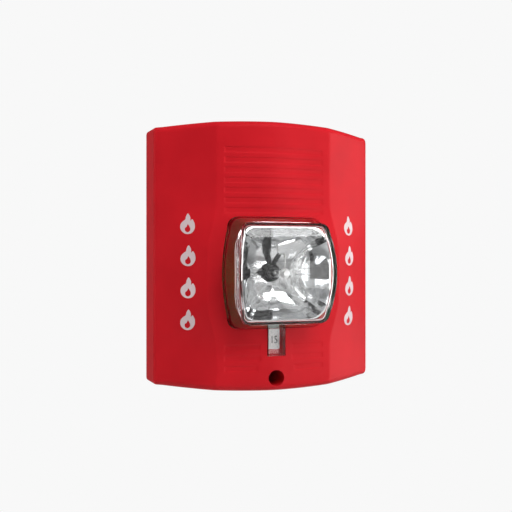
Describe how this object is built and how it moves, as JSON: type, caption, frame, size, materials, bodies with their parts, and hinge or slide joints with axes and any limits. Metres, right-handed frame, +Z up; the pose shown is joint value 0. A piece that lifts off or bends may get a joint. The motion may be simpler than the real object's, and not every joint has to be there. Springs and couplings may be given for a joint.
{
  "type": "horn strobe",
  "caption": "Wall-mounted red fire alarm horn strobe with a clear strobe lens, candela window, hinged housing and wall plate with terminals.",
  "frame": {"origin": "middle of the mounting plate's back face, on the wall", "axes": "+Z up, +X to the right seen from the front, +Y into the wall; the lens faces -Y"},
  "size_m": [0.125, 0.067, 0.142],
  "materials": {
    "red_plastic": "satin moulded, fine texture",
    "clear_lens": "clear polycarbonate, polished",
    "metallised": "vacuum metallised, mirror bright",
    "quartz": "clear tube glass",
    "steel": "zinc plated",
    "brass": "bright",
    "copper": "enamelled winding",
    "black_rubber": "matt",
    "black_plastic": "fine texture",
    "white_plastic": "smooth",
    "grey_plastic": "smooth",
    "laminate": "solder mask"
  },
  "bodies": {
    "wall_plate": {"mounting_plate": "white_plastic", "terminal_block": "black_plastic", "shorting_spring": "brass"},
    "housing": {"front_cover": "red_plastic", "strobe_lens": "clear_lens", "reflector": "metallised", "flash_tube": "quartz", "tube_end_cap": "steel", "tube_holder": "black_rubber", "return_lead": "steel", "lead_sleeve": "black_rubber", "trigger_lead": "steel", "rear_cover": "black_plastic", "circuit_board": "laminate", "tone_switch": "black_plastic", "sounder_cup": "grey_plastic", "sounder_disc": "brass", "flash_capacitor": "black_plastic", "trigger_transformer": "copper", "inductor": "black_plastic", "contact_blade_1": "brass", "contact_blade_2": "brass", "contact_blade_3": "brass", "contact_blade_4": "brass", "rear_screw_1": "steel", "rear_screw_2": "steel", "rear_screw_3": "steel", "rear_screw_4": "steel"},
    "candela_slide": {"candela_selector": "red_plastic"},
    "tone_rotor": {"tone_switch_rotor": "white_plastic"},
    "screw_carrier": {"screw_retainer": "steel"},
    "cover_screw": {"cover_screw": "steel"},
    "clamp_1": {"clamp_plate_1": "steel"},
    "terminal_1": {"terminal_screw_1": "steel"},
    "clamp_2": {"clamp_plate_2": "steel"},
    "terminal_2": {"terminal_screw_2": "steel"},
    "clamp_3": {"clamp_plate_3": "steel"},
    "terminal_3": {"terminal_screw_3": "steel"},
    "clamp_4": {"clamp_plate_4": "steel"},
    "terminal_4": {"terminal_screw_4": "steel"}
  },
  "joints": [
    {"name": "device_tilt", "type": "hinge", "parent": "wall_plate", "child": "housing", "pos_m": [0, 0, 0.071], "axis": [-1, 0, 0], "range_deg": [0, 30]},
    {"name": "screw_travel", "type": "slide", "parent": "housing", "child": "screw_carrier", "axis": [0, -1, 0], "range_m": [0, 0.0072]},
    {"name": "cover_screw_turn", "type": "hinge", "parent": "screw_carrier", "child": "cover_screw", "pos_m": [0, -0.02, -0.064], "axis": [0, -1, 0], "range_deg": [0, 2160]},
    {"name": "candela_select", "type": "slide", "parent": "housing", "child": "candela_slide", "axis": [-1, 0, 0], "range_m": [0, 0.0234]},
    {"name": "tone_select", "type": "hinge", "parent": "housing", "child": "tone_rotor", "pos_m": [-0.03, -0.009, -0.03], "axis": [0, 1, 0], "range_deg": [0, 315]},
    {"name": "clamp_travel_1", "type": "slide", "parent": "wall_plate", "child": "clamp_1", "axis": [0, -1, 0], "range_m": [0, 0.0025]},
    {"name": "terminal_screw_turn_1", "type": "hinge", "parent": "clamp_1", "child": "terminal_1", "pos_m": [-0.0165, -0.008, 0.0249], "axis": [0, -1, 0], "range_deg": [0, 1125]},
    {"name": "clamp_travel_2", "type": "slide", "parent": "wall_plate", "child": "clamp_2", "axis": [0, -1, 0], "range_m": [0, 0.0025]},
    {"name": "terminal_screw_turn_2", "type": "hinge", "parent": "clamp_2", "child": "terminal_2", "pos_m": [-0.0055, -0.008, 0.0249], "axis": [0, -1, 0], "range_deg": [0, 1125]},
    {"name": "clamp_travel_3", "type": "slide", "parent": "wall_plate", "child": "clamp_3", "axis": [0, -1, 0], "range_m": [0, 0.0025]},
    {"name": "terminal_screw_turn_3", "type": "hinge", "parent": "clamp_3", "child": "terminal_3", "pos_m": [0.0055, -0.008, 0.0249], "axis": [0, -1, 0], "range_deg": [0, 1125]},
    {"name": "clamp_travel_4", "type": "slide", "parent": "wall_plate", "child": "clamp_4", "axis": [0, -1, 0], "range_m": [0, 0.0025]},
    {"name": "terminal_screw_turn_4", "type": "hinge", "parent": "clamp_4", "child": "terminal_4", "pos_m": [0.0165, -0.008, 0.0249], "axis": [0, -1, 0], "range_deg": [0, 1125]}
  ],
  "couplings": [
    {"joint": "cover_screw_turn", "follows": "screw_travel", "rad_per_m": 5236},
    {"joint": "terminal_screw_turn_1", "follows": "clamp_travel_1", "rad_per_m": 7854},
    {"joint": "terminal_screw_turn_2", "follows": "clamp_travel_2", "rad_per_m": 7854},
    {"joint": "terminal_screw_turn_3", "follows": "clamp_travel_3", "rad_per_m": 7854},
    {"joint": "terminal_screw_turn_4", "follows": "clamp_travel_4", "rad_per_m": 7854}
  ]
}
